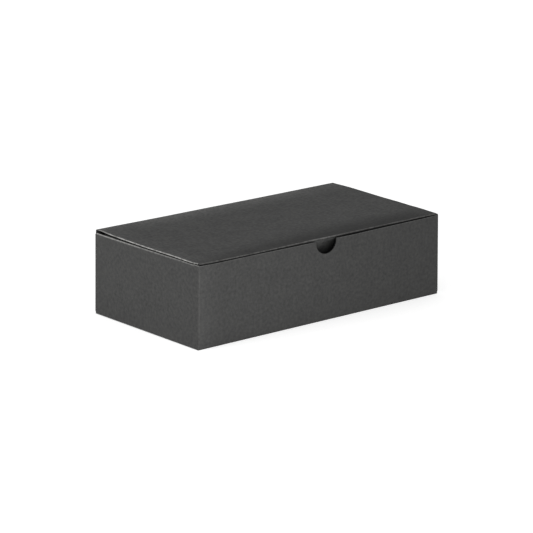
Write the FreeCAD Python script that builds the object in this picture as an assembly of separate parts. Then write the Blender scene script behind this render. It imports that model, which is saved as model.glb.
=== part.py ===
"""A tuck-top folding gift box of paperboard, folded from one creased sheet.

Each panel between two creases is a solid of its own. The four walls form a tube, closed by a glue
flap inside the right end wall. The bottom is a snap lock of four flaps. The lid hinges on the rear
wall, its tuck flap slips down behind the front wall, and two dust flaps lie under it.

Frame: origin under the middle of the box, +X along its length, +Y from front to rear, +Z up.
"""

import FreeCAD, Part
import math
import os

Vector = FreeCAD.Vector

# Driving dimensions, in millimetres and degrees.
BOX_LENGTH = 230.0           # X, over the end walls
BOX_WIDTH = 120.0            # Y, over the front and rear walls
BOX_HEIGHT = 63.0            # Z, from the table to the top of the closed lid
BOARD = 0.8                  # thickness of the paperboard
FOLD_INNER_RADIUS = 0.2      # inside of the upright and the bottom folds
CREASE_GAP = 0.06            # play between a panel edge and the flap that folds on it
STACK_GAP = 0.1              # play between flaps that lie on each other
GLUE_FILM = 0.05             # glue between the glue flap and the right end wall
EDGE_RELIEF = 0.4            # each bottom flap is this much narrower than its fold, at either end

FRONT_WALL_DROP = 1.7        # from the lid's top down to the front wall's top edge
DUST_FOLD_DROP = 2.3         # from the lid's top down to the top of a dust flap's fold
LID_END_INSET = 1.2          # from an end wall's outer face in to the lid's cut edge

NOTCH_WIDTH = 19.2           # thumb notch between its straight sides
NOTCH_DEPTH = 10.9           # below the front wall's top edge
NOTCH_FLARE_RADIUS = 2.0     # rounding where the notch runs out into the top edge
NOTCH_OFFSET = 3.4           # from the middle of the front wall towards the right end

TUCK_DEPTH = 22.0            # tuck flap, from its fold to its free edge
TUCK_WALL_GAP = 0.25         # between the tuck flap's fold and the front wall
TUCK_END_GAP = 1.2           # between the tuck flap and an end wall
TUCK_CORNER_RADIUS = 13.0
TUCK_OPENING_RATIO = 0.25    # turn of the tuck flap on its fold for each turn of the lid
TUCK_EXTRA_ANGLE = 11.0      # lean beyond what the swing past the front wall needs, in degrees

DUST_DEPTH = 48.0            # dust flap, from its fold to its free edge
DUST_SHOULDER = 12.0         # mitre at the rear end of a dust flap's fold
DUST_REAR_TAPER = 20.0       # slope of its rear edge beyond the mitre
DUST_REAR_GAP = 1.0          # from the rear wall's inner face to the start of the mitre
DUST_TUCK_GAP = 0.5          # between its front edge and the passing tuck flap
DUST_CORNER_RADIUS = 8.0

GLUE_FLAP_WIDTH = 16.0
GLUE_FLAP_TAPER = 7.0        # how much its free edge is shorter than its fold, at either end
GLUE_FLAP_END_GAP = 1.5      # from the dust flap's and the bottom's board to its fold's ends

CORNER_MITRE = 12.5          # mitre at each corner of the bottom flaps
RAMP_START = 1.2             # level board between a bottom fold and the rise of its flap
SIDE_FLAP_DEPTH = 62.0       # left and right bottom flaps
TONGUE_WIDTH = 90.0          # locking tongue of the bottom's front flap
TONGUE_LAP = 8.0             # how far the tongue reaches over the slot's root
TONGUE_CORNER_RADIUS = 9.0
TONGUE_SIDE_GAP = 1.0        # between the tongue and a side of the slot
TONGUE_LANDING = 4.0         # level board of the tongue before the slot's root
SLOT_ROOT_PAST_MIDDLE = 20.0     # from the box's middle rearwards to the slot's root
LEG_PAST_MIDDLE = 14.0       # from the box's middle forwards to the ends of the rear flap's legs
LEG_END_INSET = 25.0         # from an end wall's outer face in to the outer side of a leg
LEG_CORNER_RADIUS = 6.0
WING_SHORT_OF_MIDDLE = 6.0   # from the front flap's wings to the box's middle

CUT_PAST = 1.0               # how far a cutting body runs past the board that it cuts
SLANT = math.sqrt(0.5)       # sine and cosine of 45 degrees, for the middle of a quarter arc

# Places that follow from them.
X_END = BOX_LENGTH / 2
Y_SIDE = BOX_WIDTH / 2
FOLD_OUTER_RADIUS = FOLD_INNER_RADIUS + BOARD
LAYER = BOARD + STACK_GAP

LID_AXIS_Y = Y_SIDE - BOARD / 2
LID_AXIS_Z = BOX_HEIGHT - BOARD / 2
TUCK_AXIS_Y = -Y_SIDE + BOARD + TUCK_WALL_GAP + BOARD / 2
LID_SPAN = LID_AXIS_Y - TUCK_AXIS_Y
DUST_AXIS_X = X_END - BOARD / 2
DUST_AXIS_Z = BOX_HEIGHT - DUST_FOLD_DROP - BOARD / 2

FRONT_WALL_TOP = BOX_HEIGHT - FRONT_WALL_DROP
REAR_WALL_TOP = LID_AXIS_Z - BOARD / 2 - CREASE_GAP
END_WALL_TOP = DUST_AXIS_Z - BOARD / 2 - CREASE_GAP

# The free edge of the tuck flap swings out by up to its depth squared over twice the lid's span,
# and more as it unfolds, so the flap leans inwards by at least that much.
TUCK_SWING = (1 + TUCK_OPENING_RATIO) ** 2 * TUCK_DEPTH / (2 * LID_SPAN)
TUCK_LEAN = math.degrees(math.asin(TUCK_SWING)) + TUCK_EXTRA_ANGLE
# The leaning flap reaches furthest inwards at the dust flaps' level part of the way up.
TUCK_INWARD_REACH = (math.sin(math.radians(TUCK_LEAN)) ** 2 * LID_SPAN
                     / (2 + 4 * TUCK_OPENING_RATIO))
DUST_FRONT_Y = TUCK_AXIS_Y + BOARD / 2 + TUCK_INWARD_REACH + DUST_TUCK_GAP
DUST_REAR_Y = Y_SIDE - BOARD - DUST_REAR_GAP


def rounded_face(corners):
    """A face in the XY plane with corners (x, y, radius), each rounded by a tangent arc."""
    joins = []
    for index, (x, y, radius) in enumerate(corners):
        corner = Vector(x, y, 0)
        back = (Vector(*corners[index - 1][:2], 0) - corner).normalize()
        ahead = (Vector(*corners[(index + 1) % len(corners)][:2], 0) - corner).normalize()
        if radius == 0:
            joins.append((corner, None, corner))
            continue
        half_angle = back.getAngle(ahead) / 2
        tangent = radius / math.tan(half_angle)
        bisector = (back + ahead).normalize()
        middle = corner + bisector * (radius / math.sin(half_angle) - radius)
        joins.append((corner + back * tangent, middle, corner + ahead * tangent))
    edges = []
    for index, (start, middle, end) in enumerate(joins):
        if middle:
            edges.append(Part.Arc(start, middle, end).toShape())
        following = joins[(index + 1) % len(joins)][0]
        if end.distanceToPoint(following) > 1e-6:
            edges.append(Part.makeLine(end, following))
    return Part.Face(Part.Wire(edges))


def upright(face):
    """Stand a face up, so that its x and y become the box's X and Z."""
    face.rotate(Vector(0, 0, 0), Vector(1, 0, 0), 90)
    return face


def plate(x_range, y_range, z_range):
    """A rectangular board between three pairs of limits."""
    sizes = [high - low for low, high in (x_range, y_range, z_range)]
    return Part.makeBox(*sizes, Vector(x_range[0], y_range[0], z_range[0]))


def save(name, shape):
    """Write one sub-part."""
    shape.exportStep("parts/" + name + ".step")


def folded_wall(x_left, x_right, top):
    """A front wall up to a given height, with a quarter-round upright fold at both ends.

    Its foot is cut away between the folds, where the fold of its bottom flap lies.
    """
    y_outer = -Y_SIDE
    y_inner = y_outer + BOARD
    y_end = y_outer + FOLD_OUTER_RADIUS
    outer, inner = FOLD_OUTER_RADIUS, FOLD_INNER_RADIUS

    def bend(x_centre, direction, radius, from_end):
        points = [
            Vector(x_centre + direction * radius, y_end, 0),
            Vector(x_centre + direction * radius * SLANT, y_end - radius * SLANT, 0),
            Vector(x_centre, y_end - radius, 0),
        ]
        if not from_end:
            points.reverse()
        return Part.Arc(*points).toShape()

    left, right = x_left + outer, x_right - outer
    edges = [
        bend(left, -1, outer, True),
        Part.makeLine(Vector(left, y_outer, 0), Vector(right, y_outer, 0)),
        bend(right, 1, outer, False),
        Part.makeLine(Vector(x_right, y_end, 0), Vector(x_right - BOARD, y_end, 0)),
        bend(right, 1, inner, True),
        Part.makeLine(Vector(right, y_inner, 0), Vector(left, y_inner, 0)),
        bend(left, -1, inner, False),
        Part.makeLine(Vector(x_left + BOARD, y_end, 0), Vector(x_left, y_end, 0)),
    ]
    wall = Part.Face(Part.Wire(edges)).extrude(Vector(0, 0, top))
    foot = plate((left, right), (y_outer - CUT_PAST, y_end), (-CUT_PAST, FOLD_OUTER_RADIUS))
    return wall.cut(foot)


def front_wall():
    """The front wall, with the thumb notch in its top edge."""
    wall = folded_wall(-X_END, X_END, FRONT_WALL_TOP)
    left = NOTCH_OFFSET - NOTCH_WIDTH / 2
    right = NOTCH_OFFSET + NOTCH_WIDTH / 2
    floor = FRONT_WALL_TOP - NOTCH_DEPTH
    outline = upright(rounded_face([
        (-X_END, 0, 0),
        (X_END, 0, 0),
        (X_END, FRONT_WALL_TOP, 0),
        (right, FRONT_WALL_TOP, NOTCH_FLARE_RADIUS),
        (right, floor, NOTCH_WIDTH / 2),
        (left, floor, NOTCH_WIDTH / 2),
        (left, FRONT_WALL_TOP, NOTCH_FLARE_RADIUS),
        (-X_END, FRONT_WALL_TOP, 0),
    ]))
    outline.translate(Vector(0, -Y_SIDE - CUT_PAST, 0))
    return wall.common(outline.extrude(Vector(0, FOLD_OUTER_RADIUS + 2 * CUT_PAST, 0)))


def rear_wall():
    """The rear wall, lowered at both ends so that the lid's corners swing free.

    Its right fold lies inside the right end wall, where it runs on into the glue flap.
    """
    x_right = X_END - BOARD - GLUE_FILM
    wall = folded_wall(-x_right, X_END, REAR_WALL_TOP)
    wall.rotate(Vector(0, 0, 0), Vector(0, 0, 1), 180)
    clear = X_END - LID_END_INSET
    for side in (-1, 1):
        x_range = sorted((side * clear, side * (X_END + CUT_PAST)))
        wall = wall.cut(plate(x_range, (0, Y_SIDE + CUT_PAST), (END_WALL_TOP, BOX_HEIGHT)))
    return wall


def left_end_wall():
    """The left end wall, between the upright folds of the front and rear walls."""
    reach = Y_SIDE - FOLD_OUTER_RADIUS
    return plate((-X_END, -X_END + BOARD), (-reach, reach), (FOLD_OUTER_RADIUS, END_WALL_TOP))


def right_end_wall():
    """The right end wall, whose rear edge is cut and covers the folded glue flap."""
    y_range = (-Y_SIDE + FOLD_OUTER_RADIUS, Y_SIDE - EDGE_RELIEF)
    return plate((X_END - BOARD, X_END), y_range, (FOLD_OUTER_RADIUS, END_WALL_TOP))


def glue_flap():
    """The tapered flap on the rear wall's right fold, glued inside the right end wall."""
    fold_y = Y_SIDE - FOLD_OUTER_RADIUS
    edge_y = fold_y - GLUE_FLAP_WIDTH
    low = FOLD_OUTER_RADIUS + GLUE_FLAP_END_GAP
    high = DUST_AXIS_Z - BOARD / 2 - GLUE_FLAP_END_GAP
    face = rounded_face([
        (edge_y, low + GLUE_FLAP_TAPER, 0),
        (fold_y, low, 0),
        (fold_y, high, 0),
        (edge_y, high - GLUE_FLAP_TAPER, 0),
    ])
    face = upright(face)
    face.rotate(Vector(0, 0, 0), Vector(0, 0, 1), 90)
    face.translate(Vector(X_END - 2 * BOARD - GLUE_FILM, 0, 0))
    return face.extrude(Vector(BOARD, 0, 0))


def lid():
    """The lid, a board with a half-round fold along its rear and its front edge."""
    x_left = -X_END + LID_END_INSET
    board = plate(
        (x_left, -x_left), (TUCK_AXIS_Y, LID_AXIS_Y), (BOX_HEIGHT - BOARD, BOX_HEIGHT)
    )
    for fold_y in (TUCK_AXIS_Y, LID_AXIS_Y):
        fold = Part.makeCylinder(
            BOARD / 2, -2 * x_left, Vector(x_left, fold_y, LID_AXIS_Z), Vector(1, 0, 0)
        )
        board = board.fuse(fold)
    return board.removeSplitter()


def tuck_flap():
    """The tuck flap, hanging from the lid's front fold and leaning inwards at its free edge."""
    reach = X_END - BOARD - TUCK_END_GAP
    lean = math.radians(TUCK_LEAN)
    # The top edge starts low enough for its inner corner to clear the lid once the board leans.
    top = LID_AXIS_Z - (BOARD / 2 * (1 + math.sin(lean)) + CREASE_GAP) / math.cos(lean)
    bottom = LID_AXIS_Z - TUCK_DEPTH
    face = upright(rounded_face([
        (-reach, bottom, TUCK_CORNER_RADIUS),
        (reach, bottom, TUCK_CORNER_RADIUS),
        (reach, top, 0),
        (-reach, top, 0),
    ]))
    face.translate(Vector(0, TUCK_AXIS_Y - BOARD / 2, 0))
    flap = face.extrude(Vector(0, BOARD, 0))
    flap.rotate(Vector(0, TUCK_AXIS_Y, LID_AXIS_Z), Vector(1, 0, 0), TUCK_LEAN)
    return flap


def dust_flap():
    """The left dust flap, lying level under the lid, with a half-round fold on the end wall."""
    tip = DUST_AXIS_X - DUST_DEPTH
    shoulder_y = DUST_REAR_Y - DUST_SHOULDER
    tip_y = shoulder_y - (DUST_DEPTH - DUST_SHOULDER) * math.tan(math.radians(DUST_REAR_TAPER))
    face = rounded_face([
        (-DUST_AXIS_X, DUST_FRONT_Y, 0),
        (-tip, DUST_FRONT_Y, DUST_CORNER_RADIUS),
        (-tip, tip_y, DUST_CORNER_RADIUS),
        (-DUST_AXIS_X + DUST_SHOULDER, shoulder_y, 0),
        (-DUST_AXIS_X, DUST_REAR_Y, 0),
    ])
    face.translate(Vector(0, 0, DUST_AXIS_Z - BOARD / 2))
    board = face.extrude(Vector(0, 0, BOARD))
    fold = Part.makeCylinder(
        BOARD / 2,
        DUST_REAR_Y - DUST_FRONT_Y,
        Vector(-DUST_AXIS_X, DUST_FRONT_Y, DUST_AXIS_Z),
        Vector(0, 1, 0),
    )
    return board.fuse(fold).removeSplitter()


def bottom_flap(outline, depth, ramps):
    """A bottom flap on a fold along X at y = 0, reaching depth along +Y, cut to an outline.

    Its board starts up the wall, turns through a quarter circle to lie on the table, and
    climbs the ramps, given as (start, end, height of the rise).
    """
    outer, inner = FOLD_OUTER_RADIUS, FOLD_INNER_RADIUS

    def point(y, z):
        return Vector(-X_END, y, z)

    lower = [point(outer, 0)]
    level = 0
    for start, end, rise in ramps:
        lower.append(point(start, level))
        level += rise
        lower.append(point(end, level))
    lower.append(point(depth, level))
    upper = [corner + Vector(0, 0, BOARD) for corner in reversed(lower)]
    run = Part.makePolygon(lower + upper).Edges
    edges = [
        Part.Arc(
            point(0, outer), point(outer - outer * SLANT, outer - outer * SLANT), point(outer, 0)
        ).toShape(),
        *run,
        Part.Arc(
            point(outer, BOARD),
            point(outer - inner * SLANT, outer - inner * SLANT),
            point(BOARD, outer),
        ).toShape(),
        Part.makeLine(point(BOARD, outer), point(0, outer)),
    ]
    board = Part.Face(Part.Wire(edges)).extrude(Vector(BOX_LENGTH, 0, 0))
    prism = rounded_face(outline).extrude(Vector(0, 0, BOX_HEIGHT))
    return board.common(prism)


def mitred_corner(half_width, side, front_first):
    """Outline points of one mitred corner of a bottom flap, on a fold that ends at half_width."""
    corner = [
        (side * (half_width - EDGE_RELIEF), 0, 0),
        (side * (half_width - EDGE_RELIEF), FOLD_OUTER_RADIUS, 0),
        (side * (half_width - CORNER_MITRE), CORNER_MITRE, 0),
    ]
    return corner if front_first else corner[::-1]


def bottom_front_flap():
    """The last flap of the snap lock: it lies outermost, and its tongue locks in the slot."""
    half = X_END - FOLD_OUTER_RADIUS
    wing = Y_SIDE - WING_SHORT_OF_MIDDLE
    root = Y_SIDE + SLOT_ROOT_PAST_MIDDLE
    tip = root + TONGUE_LAP
    tongue = TONGUE_WIDTH / 2
    outline = [
        *mitred_corner(half, 1, True),
        (X_END - LEG_END_INSET, wing, LEG_CORNER_RADIUS),
        (tongue, wing, 0),
        (tongue, tip, TONGUE_CORNER_RADIUS),
        (-tongue, tip, TONGUE_CORNER_RADIUS),
        (-tongue, wing, 0),
        (-X_END + LEG_END_INSET, wing, LEG_CORNER_RADIUS),
        *mitred_corner(half, -1, False),
    ]
    flap = bottom_flap(outline, tip, [(wing, root - TONGUE_LANDING, 3 * LAYER)])
    flap.translate(Vector(0, -Y_SIDE, 0))
    return flap


def bottom_rear_flap():
    """The first flap of the snap lock: it lies innermost, with the slot between its two legs."""
    half = X_END - BOARD - GLUE_FILM - FOLD_OUTER_RADIUS
    leg = Y_SIDE + LEG_PAST_MIDDLE
    root = Y_SIDE - SLOT_ROOT_PAST_MIDDLE
    slot = TONGUE_WIDTH / 2 + TONGUE_SIDE_GAP
    outline = [
        *mitred_corner(half, 1, True),
        (X_END - LEG_END_INSET, leg, LEG_CORNER_RADIUS),
        (slot, leg, LEG_CORNER_RADIUS),
        (slot, root, 0),
        (-slot, root, 0),
        (-slot, leg, LEG_CORNER_RADIUS),
        (-X_END + LEG_END_INSET, leg, LEG_CORNER_RADIUS),
        *mitred_corner(half, -1, False),
    ]
    ramp = (FOLD_OUTER_RADIUS + RAMP_START, CORNER_MITRE, 2 * LAYER)
    flap = bottom_flap(outline, leg, [ramp])
    flap.rotate(Vector(0, 0, 0), Vector(0, 0, 1), 180)
    flap.translate(Vector(0, Y_SIDE, 0))
    return flap


def bottom_side_flap():
    """The right-hand flap of the snap lock, which lies between the rear and the front one."""
    half = Y_SIDE - FOLD_OUTER_RADIUS
    outline = [
        *mitred_corner(half, 1, True),
        (half - CORNER_MITRE, SIDE_FLAP_DEPTH, LEG_CORNER_RADIUS),
        (-half + CORNER_MITRE, SIDE_FLAP_DEPTH, LEG_CORNER_RADIUS),
        *mitred_corner(half, -1, False),
    ]
    ramp = (FOLD_OUTER_RADIUS + RAMP_START, CORNER_MITRE, LAYER)
    flap = bottom_flap(outline, SIDE_FLAP_DEPTH, [ramp])
    flap.rotate(Vector(0, 0, 0), Vector(0, 0, 1), 90)
    flap.translate(Vector(X_END, 0, 0))
    return flap


def mirrored(shape):
    """The same piece at the other end of the box."""
    return shape.mirror(Vector(0, 0, 0), Vector(1, 0, 0))


def main():
    os.makedirs("parts", exist_ok=True)
    save("front_wall", front_wall())
    save("rear_wall", rear_wall())
    save("left_end_wall", left_end_wall())
    save("right_end_wall", right_end_wall())
    save("glue_flap", glue_flap())
    save("lid", lid())
    save("tuck_flap", tuck_flap())
    save("left_dust_flap", dust_flap())
    save("right_dust_flap", mirrored(dust_flap()))
    save("bottom_front_flap", bottom_front_flap())
    save("bottom_rear_flap", bottom_rear_flap())
    save("bottom_right_flap", bottom_side_flap())
    save("bottom_left_flap", mirrored(bottom_side_flap()))


main()
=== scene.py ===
"""Dresses a tuck-top folding box of black kraft paperboard around its solid model.

Every board is an open sheet with its real folds, which a Solidify modifier turns into paperboard.
Sizes are in metres and angles in radians, in the solid model's own frame.
"""

import math

import bmesh
import bpy
from bpy.props import FloatProperty, FloatVectorProperty, PointerProperty
from mathutils import Matrix, Vector


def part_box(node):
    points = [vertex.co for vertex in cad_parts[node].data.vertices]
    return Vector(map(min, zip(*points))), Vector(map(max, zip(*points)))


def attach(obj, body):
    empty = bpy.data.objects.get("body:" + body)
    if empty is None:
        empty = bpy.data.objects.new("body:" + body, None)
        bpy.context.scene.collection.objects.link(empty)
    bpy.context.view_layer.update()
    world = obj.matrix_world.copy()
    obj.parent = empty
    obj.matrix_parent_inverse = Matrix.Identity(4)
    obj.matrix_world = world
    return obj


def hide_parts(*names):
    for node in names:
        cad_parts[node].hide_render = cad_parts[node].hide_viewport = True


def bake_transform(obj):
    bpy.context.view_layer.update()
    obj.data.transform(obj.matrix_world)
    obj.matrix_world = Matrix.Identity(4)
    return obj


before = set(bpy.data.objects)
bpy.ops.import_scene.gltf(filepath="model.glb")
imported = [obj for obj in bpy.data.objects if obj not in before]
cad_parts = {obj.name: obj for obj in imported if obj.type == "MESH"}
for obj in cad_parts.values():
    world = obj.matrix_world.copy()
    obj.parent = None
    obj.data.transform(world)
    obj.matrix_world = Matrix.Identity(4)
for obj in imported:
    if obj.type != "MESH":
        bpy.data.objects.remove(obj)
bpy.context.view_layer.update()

bl_info = {
    "name": "Tuck-top Folding Box",
    "version": (1, 0, 0),
    "blender": (4, 5, 0),
    "location": "3D View > Sidebar > Folding Box",
    "description": "Folded paperboard, its finish and a studio for a tuck-top folding box",
    "category": "Object",
}

MM = 0.001
QUARTER_TURN = math.radians(90)

# Places that the boards take from the solid model.
FRONT_LOW, FRONT_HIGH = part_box("front_wall")
REAR_LOW, REAR_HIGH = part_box("rear_wall")
END_LOW, END_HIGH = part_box("left_end_wall")
RIGHT_END_LOW, RIGHT_END_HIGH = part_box("right_end_wall")
LID_LOW, LID_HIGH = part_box("lid")
TUCK_LOW, TUCK_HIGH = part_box("tuck_flap")
DUST_LOW, DUST_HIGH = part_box("left_dust_flap")

ARC_STEPS = 6                # facets of a quarter turn
FLAT = 1e-6                  # distance at which two points count as one
FOLD_MARGIN = 0.7 * MM       # flat board beside a fold that still takes part in it
FOOT_BEND = 1.3 * MM         # from the foot of a wall to where it stands at its full width
TAB_DROP = 0.4 * MM          # from the front wall's top down to the end walls' tabs beside it
# These strips are painted pale: a wall's top edge with wear and a painted highlight, the lid's ends
# paler.
WALL_PALE_REACH = 0.5 * MM          # how far the wear of a wall's top edge reaches down its face
LID_PALE_REACH = 0.4 * MM           # how far the wear of the lid's ends reaches onto its face


def linear(hex_colour):
    """An sRGB colour such as "#4a4a4a" as linear red, green, blue and alpha."""
    parts = [int(hex_colour[start:start + 2], 16) / 255 for start in (1, 3, 5)]
    return [p / 12.92 if p <= 0.04045 else ((p + 0.055) / 1.055) ** 2.4 for p in parts] + [1.0]


def colour_setting(name, description, hex_colour):
    return FloatVectorProperty(
        name=name, description=description, subtype="COLOR", size=4, min=0.0, max=1.0,
        default=linear(hex_colour),
    )


def length_setting(name, description, millimetres):
    return FloatProperty(
        name=name, description=description, unit="LENGTH", default=millimetres * MM, precision=5,
    )


def angle_setting(name, description, degrees):
    return FloatProperty(
        name=name, description=description, subtype="ANGLE", default=math.radians(degrees),
    )


class FoldingBoxSizes(bpy.types.PropertyGroup):
    """Sizes of the folded board."""

    board: length_setting("Board", "Thickness of the paperboard", 0.8)
    fold_radius: length_setting("Fold radius", "Outside of the folds round the lid", 1.0)
    upright_radius: length_setting("Upright fold radius", "Outside of the upright folds", 1.0)
    notch_width: length_setting("Notch width", "Thumb notch between its straight sides", 19.2)
    notch_depth: length_setting("Notch depth", "Below the front wall's top edge", 10.9)
    notch_flare: length_setting("Notch flare", "Rounding where the notch meets the edge", 0.8)
    notch_offset: length_setting("Notch offset", "From the middle towards the right end", 2.3)
    lid_strip: length_setting("Lid strip", "Lid board that stays with the rear fold", 6.0)
    tuck_depth: length_setting("Tuck depth", "From its fold to its free edge", 22.0)
    tuck_corner: length_setting("Tuck corner", "Radius of the tuck flap's corners", 13.0)
    tuck_lean: angle_setting("Tuck lean", "Lean of the tuck flap behind the front wall", 19.36)
    dust_corner: length_setting("Dust flap corner", "Radius of the dust flaps' corners", 8.0)
    dust_shoulder: length_setting("Dust flap shoulder", "Mitre at the rear of the fold", 12.0)
    dust_taper: angle_setting("Dust flap taper", "Slope of its rear edge past the mitre", 20.0)


class FoldingBoxColours(bpy.types.PropertyGroup):
    """Colours of the board."""

    face: colour_setting("Face", "Black dyed kraft liner", "#393939")
    mottle: colour_setting("Mottle", "Paler fibres in the liner", "#4d4d4c")
    # Pale marks: worn folds with a painted highlight, and paler cut edges.
    pale_marks: colour_setting("Worn", "Fibres that show where a fold or an edge is rubbed", "#a3a2a0")
    core: colour_setting("Core", "Fibres at a cut edge", "#2b2b2b")


class FoldingBoxStudio(bpy.types.PropertyGroup):
    """Light and camera."""

    sky: FloatProperty(name="Sky", description="Level of the light all round", default=0.65)
    left_lamp: FloatProperty(
        name="Left lamp", description="Power of the soft lamp that faces the left end",
        default=0.89,
    )
    front_lamp: FloatProperty(
        name="Front lamp", description="Power of the soft lamp low before the front wall",
        default=0.53,
    )
    azimuth: angle_setting("Azimuth", "Camera direction round the box", -40.104)
    elevation: angle_setting("Elevation", "Camera height as an angle", 15.553)
    roll: angle_setting("Roll", "Turn of the camera on its own line of sight", 0.225)
    distance: length_setting("Distance", "From the camera to the box", 2246.4)
    aim_left: length_setting("Aim left", "From the box's origin to the line of sight", 1.52)
    aim_up: length_setting("Aim up", "From the box's origin to the line of sight", 27.08)
    lens: FloatProperty(name="Lens", description="Focal length in mm", default=205.126)


# ---------------------------------------------------------------- sheet work


def traced(bm, start, *moves):
    """An open chain of edges. A move is a point to run to, or a (centre, axis, turn) arc."""
    tip = bm.verts.new(start)
    for move in moves:
        if isinstance(move, Vector):
            tip = bmesh.ops.extrude_vert_indiv(bm, verts=[tip])["verts"][0]
            tip.co = move
            continue
        centre, axis, turn = move
        steps = max(2, round(ARC_STEPS * abs(turn) / QUARTER_TURN))
        made = bmesh.ops.spin(
            bm, geom=[tip], cent=centre, axis=axis, angle=turn, steps=steps, use_duplicate=False
        )
        tip = next(item for item in made["geom_last"] if isinstance(item, bmesh.types.BMVert))


def swept(bm, way, edges=None):
    """Draws edges, or the whole chain of them, out into a sheet."""
    made = bmesh.ops.extrude_edge_only(bm, edges=edges or bm.edges[:])["geom"]
    verts = [item for item in made if isinstance(item, bmesh.types.BMVert)]
    bmesh.ops.translate(bm, verts=verts, vec=way)


def edges_where(bm, holds):
    """The edges that have holds true at both ends."""
    return [edge for edge in bm.edges if all(holds(vert.co) for vert in edge.verts)]


def folded(bm, edges, centre, turn):
    """Carries a sheet's upright edges on round an upright fold."""
    bmesh.ops.spin(
        bm, geom=edges, cent=centre, axis=(0, 0, 1), angle=turn, steps=ARC_STEPS,
        use_duplicate=False,
    )


def trimmed(bm, holds):
    """Drops the faces that have holds true in their middle."""
    faces = [face for face in bm.faces if holds(face.calc_center_median())]
    bmesh.ops.delete(bm, geom=faces, context="FACES")


def cut(bm, place, normal, within=None, drop=True):
    """Cuts the sheet by a plane, where within holds for a face's middle, and drops the far side."""
    faces = [f for f in bm.faces if within is None or within(f.calc_center_median())]
    edges = {edge for face in faces for edge in face.edges}
    verts = {vert for face in faces for vert in face.verts}
    bmesh.ops.bisect_plane(
        bm, geom=[*verts, *edges, *faces], dist=FLAT, plane_co=place, plane_no=normal,
        clear_outer=drop,
    )


def scored(bm, axis, places, within=None):
    """Lines across the sheet, square to an axis, so that it can bend there."""
    for place in places:
        normal = Vector((0, 0, 0))
        normal[axis] = 1
        cut(bm, normal * place, normal, within, drop=False)


def rounded(bm, centre, radius, first, second, turn, within):
    """Rounds a corner of the sheet by cuts square to an arc that turns from first to second."""
    for step in range(1, 2 * ARC_STEPS):
        angle = turn * step / (2 * ARC_STEPS)
        normal = first * math.cos(angle) + second * math.sin(angle)
        cut(bm, centre + normal * radius, normal, within)


def spaced(low, high, count):
    """The places that divide a stretch into equal parts."""
    return [low + (high - low) * step / count for step in range(1, count)]


def smooth(value, start, end):
    """From 0 at start to 1 at end, level at both."""
    share = min(1.0, max(0.0, (value - start) / (end - start)))
    return share * share * (3 - 2 * share)


def along(table, value):
    """An amount read from (place in millimetres, amount) pairs, eased from one to the next."""
    place = value / MM
    if place <= table[0][0]:
        return table[0][1]
    for (low, low_amount), (high, high_amount) in zip(table, table[1:]):
        if place <= high:
            return low_amount + (high_amount - low_amount) * smooth(place, low, high)
    return table[-1][1]


def faced(bm, outward):
    """Turns the sheet's faces to the outside. outward gives the outside's direction at a point."""
    for face in bm.faces:
        face.normal_update()
    turned = [f for f in bm.faces if f.normal.dot(outward(f.calc_center_median())) < 0]
    bmesh.ops.reverse_faces(bm, faces=turned)


def fold_paling(out, up):
    """Wear with a painted highlight on a fold, most of it halfway round. out and up lead from the
    middle of its arc.
    """
    if min(out, up) < FLAT:
        return 0.0
    return max(0.0, 1 - abs(math.degrees(math.atan2(up, out)) - 45) / 45)


def as_board(name, bm, sizes, shape, finish="kraft_board_face", **marks):
    """The finished board: a sheet that keeps its rest place and marks, bent to shape and thickened.

    The marks are fold_wear (wear with a painted highlight), edge_wear (paler cut edges) and
    board_tone (painted shade and highlight; 0 leaves the colour be).
    A mark that isn't given is 0.
    """
    bmesh.ops.remove_doubles(bm, verts=bm.verts[:], dist=FLAT)
    place = bm.verts.layers.float_vector.new("rest_place")
    for vert in bm.verts:
        vert[place] = vert.co
    for mark, amount in marks.items():
        layer = bm.verts.layers.float.new(mark)
        for vert in bm.verts:
            vert[layer] = amount(vert.co)
    for vert in bm.verts:
        vert.co = settled(shape(vert.co))
    for face in bm.faces:
        face.smooth = True
    for edge in bm.edges:
        edge.smooth = not edge.is_boundary
    mesh = bpy.data.meshes.new(name)
    bm.to_mesh(mesh)
    bm.free()
    piece = bpy.data.objects.new(name, mesh)
    bpy.context.scene.collection.objects.link(piece)
    mesh.materials.append(finish_named(finish))
    mesh.materials.append(finish_named("kraft_board_cut_edge"))
    solid = piece.modifiers.new("Paperboard", "SOLIDIFY")
    solid.thickness = sizes.board
    solid.offset = -1
    solid.use_even_offset = True
    solid.material_offset_rim = 1
    return piece


# ---------------------------------------------------------------- how the boards bulge and sag

# Heights in millimetres: how the lid's left edge rises and dips from front to rear.
LID_LEFT_EDGE = ((-59, 0.75), (-55, 0.8), (-50, -0.2), (-40, -0.45), (-27, -0.4), (-8, -0.55),
                 (20, -0.35), (32, -0.05), (44, 0.15), (51, 0.7), (56, 1.0), (60, 0.3))
# Its right edge droops towards the front.
LID_RIGHT_EDGE = ((-59, -0.5), (-48, -0.5), (-32, -0.65), (-12, -0.25), (25, -0.12), (60, 0.0))
# The rest of the lid hangs between its two folds.
LID_SAG = ((-59, 0.0), (-40, -0.1), (0, -0.4), (40, -0.15), (60, 0.0))
# The lid's rear and front folds and the front wall's edge each have their own slight wave.
LID_REAR = ((-115, -0.05), (-80, 0.05), (-45, -0.12), (60, -0.45), (115, -0.5))
LID_FRONT = ((-115, -0.95), (-109, -1.3), (-95, -1.2), (-75, -0.95), (-40, -0.95), (-17, -0.8),
             (20, -1.0), (80, -0.9), (95, -0.6), (115, -0.6))
FRONT_EDGE = ((-115, 0.0), (-109, -0.4), (-95, -0.5), (-75, -0.35), (-15, -0.65), (8, -0.8),
              (12, -0.45), (14.2, -0.75), (20, -0.9), (60, -0.7), (106, -0.7), (115, -0.5))
# How far the front wall bows out along its top edge.
FRONT_BOW = ((-115, 0.0), (-60, 0.5), (-15, 0.8), (22, 1.4), (60, 1.1), (100, 0.6), (115, 0.0))
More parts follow.
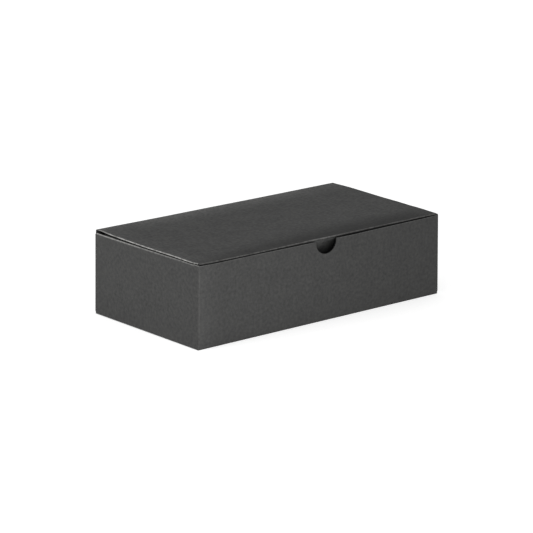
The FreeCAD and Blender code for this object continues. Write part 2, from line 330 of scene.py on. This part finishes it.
# A thumb has pressed the tuck flap in behind the notch.
TUCK_DENT = ((-34, 0.0), (-6, 1.2), (14, 2.2), (24, 2.0), (54, 0.0))
# A dust flap's fold stands a little high and climbs towards the front.
DUST_FOLD = ((-58, 0.4), (-48, 0.35), (-38, 0.5), (-25, 0.3), (0, 0.25), (25, 0.2), (50, 0.3),
             (58, 0.4))

# The bands of the lid in which the shape of each edge fades into the middle.
LID_LEFT_BAND = (-114 * MM, -70 * MM)
LID_RIGHT_BAND = (60 * MM, 114 * MM)
LID_FRONT_BAND = (-59 * MM, -36 * MM)
LID_REAR_BAND = (40 * MM, 58 * MM)
# The heights over which a wall or a flap takes up the shape of its edge.
FRONT_BOW_BAND = (1 * MM, 26 * MM)
FRONT_EDGE_BAND = (51 * MM, 61 * MM)
HINGE_BAND = (56 * MM, 62 * MM)
DUST_FOLD_BAND = (45 * MM, 60.5 * MM)
# The dent in the tuck flap grows and fades downwards.
DENT_START_BAND = (-61.5 * MM, -58 * MM)
DENT_END_BAND = (-52 * MM, -42 * MM)

FOOT_SPREAD = 0.0031         # share by which the walls stand wider than their bottom folds
TOP_TAPER = 0.0055           # share by which the box narrows again up to the lid
WALL_CORNER_SHIFT = 0.65 * MM    # of the walls' front left fold, to the right and forward
LID_CORNER_SHIFT = 0.3 * MM      # of the lid's front left corner, the same way
LID_SKEW = 0.8 * MM              # of the lid's rear right corner, to the right


def settled(p):
    """The box is a little wider above its bottom folds, narrower above, and not quite square."""
    above_fold = smooth(p.z, END_LOW.z, END_LOW.z + FOOT_BEND)
    in_lid = smooth(p.z, FRONT_HIGH.z, LID_HIGH.z)
    left_share = (1 + p.x / END_LOW.x) / 2
    front_share = (1 + p.y / FRONT_LOW.y) / 2
    widening = 1 + FOOT_SPREAD * above_fold - TOP_TAPER * p.z / LID_HIGH.z
    shift = WALL_CORNER_SHIFT + (LID_CORNER_SHIFT - WALL_CORNER_SHIFT) * in_lid
    corner = shift * above_fold * left_share * front_share
    skew = LID_SKEW * in_lid * (1 - left_share) * (1 - front_share)
    return Vector((p.x * widening + corner + skew, p.y * widening - corner, p.z))


def lid_rise(x, y):
    """How far the closed lid stands above or below its plane."""
    left = 1 - smooth(x, *LID_LEFT_BAND)
    right = smooth(x, *LID_RIGHT_BAND)
    front = 1 - smooth(y, *LID_FRONT_BAND)
    rear = smooth(y, *LID_REAR_BAND)
    sheet = along(LID_LEFT_EDGE, y) * left + along(LID_SAG, y) * (1 - left)
    sheet += along(LID_RIGHT_EDGE, y) * right
    return (sheet + along(LID_FRONT, x) * front + along(LID_REAR, x) * rear) * MM


# ---------------------------------------------------------------- painted light and shade, and pale marks

# A tone paints the board paler or darker by a share, set by comparison with the photo. It is
# painted shade, painted shadow and painted highlight, so it stays on the board when the box is
# open.
# How much painted shade darkens the lid's face beside its front fold.
LID_FRONT_PAINTED_SHADE = ((-115, -0.36), (-60, -0.42), (0, -0.53), (90, -0.55), (115, -0.2))


def lid_painted_shade_and_sheen(x, y):
    """Painted shade darkens the lid towards its front fold, and painted sheen makes it paler by its
    rear fold and its left end.
    """
    dark_to = -46 * MM + 15 * MM * smooth(x, -100 * MM, 0)
    dark = along(LID_FRONT_PAINTED_SHADE, x) * (1 - smooth(y, -57 * MM, dark_to))
    left = 0.15 * (1 - smooth(x, -112 * MM, -96 * MM))
    rear = max(0.0, (y - 30 * MM) / (30 * MM)) ** 2
    return dark + left + rear * (1 - 0.5 * smooth(abs(x), 60 * MM, 110 * MM))


def tuck_painted_shadow(x, z):
    """The tuck flap is painted in shadow, and less so where the notch lets light in."""
    right_end = 1 * MM + 7 * MM * smooth(z, 56 * MM, 60 * MM)
    lit = smooth(x, -24 * MM, -8 * MM) * (1 - smooth(x, right_end, 13 * MM))
    return 0.75 * lit * smooth(z, 52 * MM, 60 * MM) - 0.65


def front_painted_highlight(x):
    """The front wall is painted a little paler beside its left fold, a painted highlight."""
    return 0.16 * (1 - smooth(x, -113 * MM, -100 * MM))


def end_fold_wear_and_highlight(y):
    """The end walls' folds are worn and painted with a highlight, most towards the rear."""
    return 0.52 + 0.48 * smooth(y, -25 * MM, 45 * MM)


def lid_end_paling(y):
    """The lid's cut ends are paler, less so at both of their corners."""
    return 1 - 0.3 * smooth(y, 38 * MM, 48 * MM) - 0.4 * smooth(-y, 48 * MM, 56 * MM)


# ---------------------------------------------------------------- finishes

FIBRE_CLUMP = 2.4 * MM       # drawn coarser than the real 0.5 mm, so that the clumps show
PULP_CLOUD = 12 * MM         # paler and darker clouds in the pulp
CLOUD_SHARE = 0.2            # of the mottle. The clumps make the rest
MOTTLE_SPREAD = 0.25         # the smaller, the stronger the mottle
# The lid's mottle is stronger, painted shading of its fibres.
LID_MOTTLE_SPREAD = 0.15
FIBRE_HEIGHT = 0.06 * MM


def add(tree, kind, links=(), **settings):
    """A node with its settings. A link is (input, node, output)."""
    node = tree.nodes.new(kind)
    for name, value in settings.items():
        if hasattr(node, name):
            setattr(node, name, value)
        else:
            node.inputs[name.replace("_", " ")].default_value = value
    for target, source, output in links:
        tree.links.new(source.outputs[output], node.inputs[target])
    return node


def paperboard(name, colours, base, pale, paling_mark=None, spread=MOTTLE_SPREAD):
    """Black dyed kraft paperboard, uncoated: a dull, slightly mottled face with short fibres.

    A sheet names the mark that makes it pale, wear with a painted highlight on the folds and paler
    cut edges, and takes the painted shade and highlight of its tone. The solid model's own flaps
    have no marks.
    """
    material = bpy.data.materials.new(name)
    material.use_nodes = True
    tree = material.node_tree
    tree.nodes.clear()
    if paling_mark:
        where, out = add(tree, "ShaderNodeAttribute", attribute_name="rest_place"), "Vector"
    else:
        where, out = add(tree, "ShaderNodeTexCoord"), "Object"
    clumps = add(tree, "ShaderNodeTexNoise", [("Vector", where, out)], Scale=1 / FIBRE_CLUMP,
                 Detail=3.0, Roughness=0.6)
    cloud = add(tree, "ShaderNodeTexNoise", [("Vector", where, out)], Scale=1 / PULP_CLOUD,
                Detail=2.0, Roughness=0.5)
    both = add(tree, "ShaderNodeMix", [(2, clumps, 0), (3, cloud, 0)], data_type="FLOAT")
    both.inputs[0].default_value = CLOUD_SHARE
    tone = add(tree, "ShaderNodeMapRange", [("Value", both, 0)], From_Min=0.5 - spread,
               From_Max=0.5 + spread)
    colour = add(tree, "ShaderNodeMix", [(0, tone, 0)], data_type="RGBA")
    colour.inputs[6].default_value = base
    colour.inputs[7].default_value = pale
    last, last_out = colour, 2
    if paling_mark:
        # The tone: painted shade and highlight, by which the colour is scaled.
        mark = add(tree, "ShaderNodeAttribute", attribute_name="board_tone")
        depth = add(tree, "ShaderNodeMath", [(0, mark, "Fac")], operation="ADD")
        depth.inputs[1].default_value = 1.0
        toned = add(tree, "ShaderNodeVectorMath", [(0, colour, 2), ("Scale", depth, 0)],
                    operation="SCALE")
        # Pale marks: wear with a painted highlight on the folds, and paler cut edges.
        paling = add(tree, "ShaderNodeAttribute", attribute_name=paling_mark)
        broken = add(tree, "ShaderNodeMapRange", [("Value", clumps, 0)], From_Min=0.3,
                     From_Max=0.6, To_Min=0.45, To_Max=1.0)
        amount = add(tree, "ShaderNodeMath", [(0, paling, "Fac"), (1, broken, 0)],
                     operation="MULTIPLY", use_clamp=True)
        last = add(tree, "ShaderNodeMix", [(0, amount, 0), (6, toned, 0)], data_type="RGBA")
        last.inputs[7].default_value = colours.pale_marks
    rough = add(tree, "ShaderNodeMapRange", [("Value", clumps, 0)], To_Min=0.62, To_Max=0.82)
    height = add(tree, "ShaderNodeBump", [("Height", clumps, 0)], Strength=0.25,
                 Distance=FIBRE_HEIGHT)
    shader = add(tree, "ShaderNodeBsdfPrincipled", [
        ("Base Color", last, last_out), ("Roughness", rough, 0), ("Normal", height, 0),
    ])
    shader.inputs["Specular IOR Level"].default_value = 0.07
    shader.inputs["IOR"].default_value = 1.5
    add(tree, "ShaderNodeOutputMaterial", [("Surface", shader, 0)])
    return material


def finish_named(name):
    """One of the board's finishes, made once."""
    if name in bpy.data.materials:
        return bpy.data.materials[name]
    colours = bpy.context.scene.folding_box_colours
    looks = {
        # The dyed liner: dull and nearly black with paler fibres, grey where a fold is worn and
        # painted with a highlight, and with the painted shade and highlight of the tone.
        "kraft_board_face": (colours.face, colours.mottle, "fold_wear"),
        # The same liner on the lid, its mottle stronger as painted shading of the fibres.
        "kraft_board_lid_face": (colours.face, colours.mottle, "fold_wear", LID_MOTTLE_SPREAD),
        # The darker core of the board, paler along some cut edges, and with the painted shade and
        # highlight of the tone.
        "kraft_board_cut_edge": (colours.core, colours.core, "edge_wear"),
        # The liner with neither pale marks nor painted tone.
        "kraft_board_flap": (colours.face, colours.mottle),
    }
    return paperboard(name, colours, *looks[name])


def floor_paper(name, glow, seen_glow):
    """White background paper, there from above only, so that the box shows from below.

    seen_glow is added where the camera looks at it.
    """
    material = bpy.data.materials.new(name)
    material.use_nodes = True
    tree = material.node_tree
    tree.nodes.clear()
    paper = add(tree, "ShaderNodeBsdfDiffuse")
    paper.inputs["Color"].default_value = linear("#e8e8e8")
    rays = add(tree, "ShaderNodeLightPath")
    level = add(tree, "ShaderNodeMath", [(0, rays, "Is Camera Ray")], operation="MULTIPLY_ADD")
    level.inputs[1].default_value = seen_glow
    level.inputs[2].default_value = glow
    shine = add(tree, "ShaderNodeEmission", [("Strength", level, 0)])
    lit = add(tree, "ShaderNodeAddShader", [(0, paper, 0), (1, shine, 0)])
    side = add(tree, "ShaderNodeNewGeometry")
    clear = add(tree, "ShaderNodeBsdfTransparent")
    either = add(tree, "ShaderNodeMixShader", [(0, side, "Backfacing"), (1, lit, 0), (2, clear, 0)])
    add(tree, "ShaderNodeOutputMaterial", [("Surface", either, 0)])
    return material


# ---------------------------------------------------------------- pieces


class FOLDINGBOX_OT_front_board(bpy.types.Operator):
    """The front wall with its thumb notch and the upright folds at both ends"""

    bl_idname = "object.folding_box_front"
    bl_label = "Front Board"

    def execute(self, context):
        sizes = context.scene.folding_box_sizes
        y, foot, top = FRONT_LOW.y, END_LOW.z, FRONT_HIGH.z
        fold = sizes.upright_radius
        left, right = FRONT_LOW.x + fold, FRONT_HIGH.x - fold
        bm = bmesh.new()
        self.notched_sheet(bm, sizes, left, right)
        for x, way in ((left, -1), (right, 1)):
            side = edges_where(bm, lambda p: abs(p.x - x) < FLAT)
            folded(bm, side, (x, y + fold, 0), way * QUARTER_TURN)
        # Between the bottom folds, the upright folds reach down to the floor.
        feet = edges_where(bm, lambda p: p.z < foot + FLAT and abs(p.x) > right - FLAT)
        swept(bm, Vector((0, 0, -foot)), feet)
        scored(bm, 0, [left + FOLD_MARGIN, right - FOLD_MARGIN, *spaced(left, right, 16)],
               lambda p: p.y < y + FLAT)
        scored(bm, 2, [foot + FOOT_BEND, *spaced(foot, top, 8), top - WALL_PALE_REACH])
        faced(bm, lambda p: Vector((p.x, p.y, 0)))

        # Wear with a painted highlight on the upright folds and along the top edge.
        def fold_wear(p):
            top_wear_and_highlight = 0.22 if p.z > top - FLAT else 0.0
            return 0.03 * fold_paling(abs(p.x) - right, y + fold - p.y) + top_wear_and_highlight

        piece = as_board(
            "front_board", bm, sizes, self.bulged,
            fold_wear=fold_wear, board_tone=lambda p: front_painted_highlight(p.x),
        )
        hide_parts("front_wall")
        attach(piece, "carton")
        return {"FINISHED"}

    @staticmethod
    def notched_sheet(bm, sizes, left, right):
        """The flat of the wall, one face with the notch's outline in its top edge."""
        y, foot, top = FRONT_LOW.y, END_LOW.z, FRONT_HIGH.z
        half, flare = sizes.notch_width / 2, sizes.notch_flare
        middle = sizes.notch_offset
        round_height = top - sizes.notch_depth + half
        across = Vector((0, 1, 0))
        traced(
            bm, Vector((left, y, foot)),
            Vector((left, y, top)),
            Vector((middle - half - flare, y, top)),
            (Vector((middle - half - flare, y, top - flare)), across, QUARTER_TURN),
            Vector((middle - half, y, round_height)),
            (Vector((middle, y, round_height)), across, -2 * QUARTER_TURN),
            Vector((middle + half, y, top - flare)),
            (Vector((middle + half + flare, y, top - flare)), across, QUARTER_TURN),
            Vector((right, y, top)),
            Vector((right, y, foot)),
        )
        bm.faces.new(bm.verts[:])

    @staticmethod
    def bulged(p):
        """The wall bows out up to its top edge, which dips by the notch."""
        bow = along(FRONT_BOW, p.x) * MM * smooth(p.z, *FRONT_BOW_BAND)
        rise = along(FRONT_EDGE, p.x) * MM * smooth(p.z, *FRONT_EDGE_BAND)
        return Vector((p.x, p.y - bow, p.z + rise))


class FOLDINGBOX_OT_rear_board(bpy.types.Operator):
    """The rear wall, its upright folds, the lid's hinge fold and the strip of lid next to it"""

    bl_idname = "object.folding_box_rear"
    bl_label = "Rear Board"

    def execute(self, context):
        sizes = context.scene.folding_box_sizes
        radius, fold = sizes.fold_radius, sizes.upright_radius
        y, foot, wall_top, top = REAR_HIGH.y, END_LOW.z, END_HIGH.z, LID_HIGH.z
        left, right = LID_LOW.x, LID_HIGH.x
        wall_right = REAR_HIGH.x - fold
        bm = bmesh.new()
        traced(
            bm, Vector((left, y, foot)),
            Vector((left, y, wall_top)),
            Vector((left, y, top - radius)),
            (Vector((left, y - radius, top - radius)), Vector((1, 0, 0)), QUARTER_TURN),
            Vector((left, y - sizes.lid_strip, top)),
        )
        swept(bm, Vector((right - left, 0, 0)))
        # The wall is narrower at the right than the lid, to fit inside the right end wall.
        scored(bm, 0, [wall_right], lambda p: p.z < wall_top)
        trimmed(bm, lambda p: p.z < wall_top and p.x > wall_right)
        for x, way in ((left, 1), (wall_right, -1)):
            side = edges_where(bm, lambda p: abs(p.x - x) < FLAT and p.z < wall_top + FLAT)
            folded(bm, side, (x, y - fold, 0), way * QUARTER_TURN)
        feet = edges_where(bm, lambda p: p.z < foot + FLAT
                           and not left + FLAT < p.x < wall_right - FLAT)
        swept(bm, Vector((0, 0, -foot)), feet)
        scored(bm, 0, spaced(left, right, 24), lambda p: p.y > y - sizes.lid_strip)
        scored(bm, 2, [foot + FOOT_BEND, *spaced(foot, top, 6), top - radius - FOLD_MARGIN])
        scored(bm, 1, [y - radius - FOLD_MARGIN], lambda p: p.z > top - radius / 2)
        faced(bm, lambda p: Vector((p.x * 0.2, p.y, max(0, p.z - 50 * MM) * 9)))

        # The strip's cut ends are paler, as the lid's ends are.
        def edge_wear(p):
            if abs(p.x) < right - FLAT:
                return 0.0
            return 0.9 * (1 - smooth(p.y, y - 6 * radius, y - 3 * radius))

        # The hinge fold is worn and painted with a highlight, and the strip takes the lid's painted
        # shade and sheen.
        piece = as_board(
            "rear_board", bm, sizes, self.bulged, finish="kraft_board_lid_face",
            fold_wear=lambda p: 0.4 * fold_paling(p.y - y + radius, p.z - top + radius),
            edge_wear=edge_wear,
            board_tone=lambda p: lid_painted_shade_and_sheen(p.x, p.y) if p.z > top - radius else 0.0,
        )
        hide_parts("rear_wall")
        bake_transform(piece)
        return {"FINISHED"}

    @staticmethod
    def bulged(p):
        """The strip and the fold follow the lid's own rise."""
        return Vector((p.x, p.y, p.z + lid_rise(p.x, p.y) * smooth(p.z, *HINGE_BAND)))


class FOLDINGBOX_OT_end_boards(bpy.types.Operator):
    """Both end walls, each in one sheet with the dust flap that folds in under the lid"""

    bl_idname = "object.folding_box_ends"
    bl_label = "End Boards"

    def execute(self, context):
        sizes = context.scene.folding_box_sizes
        self.build(sizes, "left", END_HIGH.y)
        self.build(sizes, "right", RIGHT_END_HIGH.y)
        return {"FINISHED"}

    def build(self, sizes, side, rear):
        """One board, drawn at the left and mirrored for the right."""
        radius = sizes.fold_radius
        x, top, tip = END_LOW.x, DUST_HIGH.z, DUST_HIGH.x
        front, foot, crest = END_LOW.y, END_LOW.z, top - radius
        tab_top = FRONT_HIGH.z - TAB_DROP

        def in_wall(p):
            return p.x < x + FLAT

        def in_flap(p):
            return p.z > top - FLAT and p.y > DUST_LOW.y

        bm = bmesh.new()
        traced(
            bm, Vector((x, front, foot)),
            Vector((x, front, crest)),
            (Vector((x + radius, front, crest)), Vector((0, 1, 0)), QUARTER_TURN),
            Vector((tip, front, top)),
        )
        swept(bm, Vector((0, rear - front, 0)))
        # Beyond both ends of the flap only the wall stands. Its front tab reaches higher.
        scored(bm, 1, [DUST_LOW.y, DUST_HIGH.y])
        scored(bm, 2, [crest], in_wall)
        trimmed(bm, lambda p: p.z > crest and not DUST_LOW.y < p.y < DUST_HIGH.y)
        tab = edges_where(bm, lambda p: abs(p.z - crest) < FLAT and p.y < DUST_LOW.y + FLAT)
        swept(bm, Vector((0, 0, tab_top - crest)), tab)
        scored(bm, 2, [tab_top - WALL_PALE_REACH], lambda p: p.y < DUST_LOW.y)
        self.cut_flap(bm, sizes, in_flap)
        scored(bm, 1, spaced(front, rear, 24))
        scored(bm, 2, [foot + FOOT_BEND, *spaced(foot, top, 6), crest - FOLD_MARGIN], in_wall)
        scored(bm, 0, [x + radius + FOLD_MARGIN, *spaced(x, tip, 4)], in_flap)
        faced(bm, lambda p: Vector((0, 0, 1)) if in_flap(p) else Vector((-1, 0, 0)))
        if side == "right":
            bmesh.ops.scale(bm, verts=bm.verts[:], vec=(-1, 1, 1))
            bmesh.ops.reverse_faces(bm, faces=bm.faces[:])

        # Wear with a painted highlight on the fold and on the tab's top.
        def fold_wear(p):
            if p.y < DUST_LOW.y - FLAT:
                return 0.8 if p.z > tab_top - FLAT else 0.0
            return fold_paling(abs(p.x) + x + radius, p.z - crest) * end_fold_wear_and_highlight(p.y)

        piece = as_board(
            side + "_end_board", bm, sizes, self.bulged, fold_wear=fold_wear,
            edge_wear=lambda p: 0.7 if p.z > tab_top - FLAT else 0.0,
        )
        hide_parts(side + "_end_wall", side + "_dust_flap")
        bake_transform(piece)

    @staticmethod
    def cut_flap(bm, sizes, in_flap):
        """The flap's outline: a mitred shoulder, a tapered rear edge and two rounded corners."""
        top, tip = DUST_HIGH.z, DUST_HIGH.x
        corner, taper = sizes.dust_corner, sizes.dust_taper
        forward, inward = Vector((0, -1, 0)), Vector((1, 0, 0))
        mitre = Vector((END_LOW.x + sizes.board / 2, DUST_HIGH.y, top))
        cut(bm, mitre, inward - forward, in_flap)
        bend = mitre + (inward + forward) * sizes.dust_shoulder
        cut(bm, bend, inward * math.sin(taper) - forward * math.cos(taper), in_flap)
        front_centre = Vector((tip - corner, DUST_LOW.y + corner, top))
        rounded(bm, front_centre, corner, forward, inward, QUARTER_TURN, in_flap)
        rear_y = bend.y - (tip - corner - bend.x) * math.tan(taper)
        rear_centre = Vector((tip - corner, rear_y - corner / math.cos(taper), top))
        rounded(bm, rear_centre, corner, inward, -forward, QUARTER_TURN - taper, in_flap)

    @staticmethod
    def bulged(p):
        """The dust flap's fold stands high and waves a little."""
        rise = along(DUST_FOLD, p.y) * MM * smooth(p.z, *DUST_FOLD_BAND)
        return Vector((p.x, p.y, p.z + rise))


class FOLDINGBOX_OT_lid_board(bpy.types.Operator):
    """The lid and its tuck flap in one sheet, up to the strip at the hinge fold"""

    bl_idname = "object.folding_box_lid"
    bl_label = "Lid Board"

    def execute(self, context):
        sizes = context.scene.folding_box_sizes
        radius = sizes.fold_radius
        left, right, top = LID_LOW.x, LID_HIGH.x, LID_HIGH.z
        front, back = LID_LOW.y, LID_HIGH.y - sizes.lid_strip
        lean = sizes.tuck_lean
        down = Vector((0, math.sin(lean), -math.cos(lean)))
        fold_centre = Vector((left, front + radius, top - radius))
        fold_end = fold_centre - Vector((0, math.cos(lean), math.sin(lean))) * radius
        depth = sizes.tuck_depth - radius

        def in_lid(p):
            return p.z > top - FLAT

        def in_tuck(p):
            return p.z < fold_end.z

        bm = bmesh.new()
        traced(
            bm, Vector((left, back, top)),
            Vector((left, front + radius, top)),
            (fold_centre, Vector((1, 0, 0)), QUARTER_TURN + lean),
            fold_end + down * depth,
        )
        swept(bm, Vector((right - left, 0, 0)))
        # The tuck flap is a little narrower than the lid, with rounded lower corners.
        outwards = (Vector((-1, 0, 0)), Vector((1, 0, 0)))
        for outward in outwards:
            cut(bm, outward * TUCK_HIGH.x, outward, in_tuck)
        corner = sizes.tuck_corner
        for outward in outwards:
            corner_centre = fold_end + down * (depth - corner)
            corner_centre.x = outward.x * (TUCK_HIGH.x - corner)
            rounded(bm, corner_centre, corner, outward, down, QUARTER_TURN, in_tuck)
        scored(bm, 0, [left + LID_PALE_REACH, *spaced(left, right, 24), right - LID_PALE_REACH])
        scored(bm, 1, [front + radius + FOLD_MARGIN, *spaced(front, back, 16)], in_lid)
        scored(bm, 2, [fold_end.z - FOLD_MARGIN, *spaced(TUCK_LOW.z, fold_end.z, 12)])
        faced(bm, lambda p: Vector((0, -1, 0)) if p.z < top - radius else Vector((0, -0.2, 1)))

        def at_end(p):
            return 1.0 if in_lid(p) and abs(p.x) > right - FLAT else 0.0

        # Wear with a painted highlight on the front fold and beside the lid's ends.
        def fold_wear(p):
            return 0.3 * fold_paling(front + radius - p.y, p.z - top + radius) + 0.5 * at_end(p)

        piece = as_board(
            "lid_board", bm, sizes, self.bulged, finish="kraft_board_lid_face",
            fold_wear=fold_wear,
            edge_wear=lambda p: at_end(p) * lid_end_paling(p.y),
            board_tone=lambda p: lid_painted_shade_and_sheen(p.x, p.y) if in_lid(p) else tuck_painted_shadow(p.x, p.z),
        )
        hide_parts("lid", "tuck_flap")
        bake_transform(piece)
        return {"FINISHED"}

    @staticmethod
    def bulged(p):
        """The lid sags and rises, and the tuck flap is dented behind the notch."""
        dent = along(TUCK_DENT, p.x) * MM * smooth(-p.z, *DENT_START_BAND)
        dent *= 1 - smooth(-p.z, *DENT_END_BAND)
        # The whole tuck flap rises with its fold.
        fold_y = LID_FRONT_BAND[0]
        rise = lid_rise(p.x, max(p.y, fold_y) if p.z > 60 * MM else fold_y)
        return Vector((p.x, p.y + dent, p.z + rise))


class FOLDINGBOX_OT_flap_finish(bpy.types.Operator):
    """The board's finish on the glue flap and the four flaps of the snap-lock bottom"""

    bl_idname = "object.folding_box_flaps"
    bl_label = "Flap Finish"

    def execute(self, context):
        finish = finish_named("kraft_board_flap")
        for node in ("glue_flap", "bottom_front_flap", "bottom_rear_flap", "bottom_left_flap",
                     "bottom_right_flap"):
            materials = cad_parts[node].data.materials
            materials.clear()
            materials.append(finish)
        return {"FINISHED"}


# ---------------------------------------------------------------- stage

FLOOR_SIZE = 30.0            # metres from the box to the floor's edges
FLOOR_GAP = 0.02 * MM        # keeps the floor clear of the bottom's outer face
FLOOR_GLOW = 0.2             # light that the floor gives off
FLOOR_SEEN_GLOW = 0.35       # what it gives off besides where it is only looked at
# The soft lamps' widths, places and the points that they face, in metres.
LAMPS = {
    "left_lamp": (0.3, (-0.55, 0.10, 0.15), (-0.115, 0, 0.03)),
    "front_lamp": (0.2, (-0.15, -0.35, 0.06), (-0.10, -0.06, 0.03)),
}


class FOLDINGBOX_OT_studio(bpy.types.Operator):
    """The white floor, the soft light and the camera"""

    bl_idname = "object.folding_box_studio"
    bl_label = "Studio"

    def execute(self, context):
        scene = context.scene
        studio = scene.folding_box_studio
        scene.view_settings.view_transform = "Standard"
        self.light_world(scene, studio)
        self.lay_floor(scene, studio)
        for name, (width, place, target) in LAMPS.items():
            self.hang_lamp(scene, name, getattr(studio, name), width, place, target)
        self.place_camera(scene, studio)
        return {"FINISHED"}

    @staticmethod
    def light_world(scene, studio):
        """White where it is looked at, and dimmer for the light that falls on the box."""
        world = bpy.data.worlds.new("white_studio")
        world.use_nodes = True
        tree = world.node_tree
        tree.nodes.clear()
        rays = add(tree, "ShaderNodeLightPath")
        direct = add(tree, "ShaderNodeMath",
                     [(0, rays, "Is Camera Ray"), (1, rays, "Is Glossy Ray")], operation="MAXIMUM")
        seen = add(tree, "ShaderNodeMath", [(0, direct, 0), (1, rays, "Is Transmission Ray")],
                   operation="MAXIMUM")
        light = add(tree, "ShaderNodeBackground", Strength=studio.sky)
        white = add(tree, "ShaderNodeBackground", Strength=1.0)
        for node in (light, white):
            node.inputs["Color"].default_value = linear("#ffffff")
        mixed = add(tree, "ShaderNodeMixShader", [(0, seen, 0), (1, light, 0), (2, white, 0)])
        add(tree, "ShaderNodeOutputWorld", [("Surface", mixed, 0)])
        scene.world = world

    @staticmethod
    def lay_floor(scene, studio):
        """The floor, whose patch under the box shines up as the sky would."""
        bm = bmesh.new()
        bmesh.ops.create_grid(bm, x_segments=1, y_segments=1, size=FLOOR_SIZE)
        scored(bm, 0, [END_LOW.x, -END_LOW.x])
        scored(bm, 1, [FRONT_LOW.y, REAR_HIGH.y])
        for face in bm.faces:
            face.material_index = 1 if face.calc_center_median().xy.length < FLAT else 0
        bmesh.ops.translate(bm, verts=bm.verts[:], vec=(0, 0, -FLOOR_GAP))
        mesh = bpy.data.meshes.new("studio_floor")
        bm.to_mesh(mesh)
        bm.free()
        floor = bpy.data.objects.new("studio_floor", mesh)
        scene.collection.objects.link(floor)
        mesh.materials.append(floor_paper("white_floor_paper", FLOOR_GLOW, FLOOR_SEEN_GLOW))
        mesh.materials.append(
            floor_paper("white_floor_paper_under_the_box", studio.sky, -studio.sky)
        )

    @staticmethod
    def hang_lamp(scene, name, power, width, place, target):
        light = bpy.data.lights.new(name, "AREA")
        light.shape = "SQUARE"
        light.size = width
        light.energy = power
        lamp = bpy.data.objects.new(name, light)
        scene.collection.objects.link(lamp)
        lamp.visible_camera = False
        lamp.location = place
        aim = Vector(target) - lamp.location
        lamp.rotation_euler = aim.to_track_quat("-Z", "Y").to_euler()

    @staticmethod
    def place_camera(scene, studio):
        data = bpy.data.cameras.new("camera")
        data.sensor_width = 36.0
        data.lens = studio.lens
        camera = bpy.data.objects.new("camera", data)
        scene.collection.objects.link(camera)
        turn, lift = studio.azimuth, studio.elevation
        back = Vector((math.sin(turn) * math.cos(lift), -math.cos(turn) * math.cos(lift),
                       math.sin(lift)))
        right = (-back).cross(Vector((0, 0, 1))).normalized()
        up = right.cross(-back)
        side = right * math.cos(studio.roll) + up * math.sin(studio.roll)
        over = -right * math.sin(studio.roll) + up * math.cos(studio.roll)
        place = back * studio.distance - right * studio.aim_left + up * studio.aim_up
        camera.matrix_world = Matrix((
            (side.x, over.x, back.x, place.x),
            (side.y, over.y, back.y, place.y),
            (side.z, over.z, back.z, place.z),
            (0, 0, 0, 1),
        ))
        scene.camera = camera


class FOLDINGBOX_PT_panel(bpy.types.Panel):
    """Sizes, colours and pieces of the folding box"""

    bl_idname = "FOLDINGBOX_PT_panel"
    bl_label = "Folding Box"
    bl_space_type = "VIEW_3D"
    bl_region_type = "UI"
    bl_category = "Folding Box"

    def draw(self, context):
        for group in ("sizes", "colours", "studio"):
            settings = getattr(context.scene, "folding_box_" + group)
            column = self.layout.column(heading=group.capitalize())
            for name in settings.__annotations__:
                column.prop(settings, name)
        for piece in PIECES:
            self.layout.operator(piece.bl_idname)


PIECES = (
    FOLDINGBOX_OT_front_board,
    FOLDINGBOX_OT_rear_board,
    FOLDINGBOX_OT_end_boards,
    FOLDINGBOX_OT_lid_board,
    FOLDINGBOX_OT_flap_finish,
    FOLDINGBOX_OT_studio,
)
GROUPS = {
    "folding_box_sizes": FoldingBoxSizes,
    "folding_box_colours": FoldingBoxColours,
    "folding_box_studio": FoldingBoxStudio,
}


def register():
    for kind in (*GROUPS.values(), *PIECES, FOLDINGBOX_PT_panel):
        bpy.utils.register_class(kind)
    for name, kind in GROUPS.items():
        setattr(bpy.types.Scene, name, PointerProperty(type=kind))


def unregister():
    for name in GROUPS:
        delattr(bpy.types.Scene, name)
    for kind in (FOLDINGBOX_PT_panel, *PIECES, *GROUPS.values()):
        bpy.utils.unregister_class(kind)


def main():
    register()
    bpy.ops.object.folding_box_front()
    bpy.ops.object.folding_box_rear()
    bpy.ops.object.folding_box_ends()
    bpy.ops.object.folding_box_lid()
    bpy.ops.object.folding_box_flaps()
    bpy.ops.object.folding_box_studio()


if __name__ == "__main__":
    main()
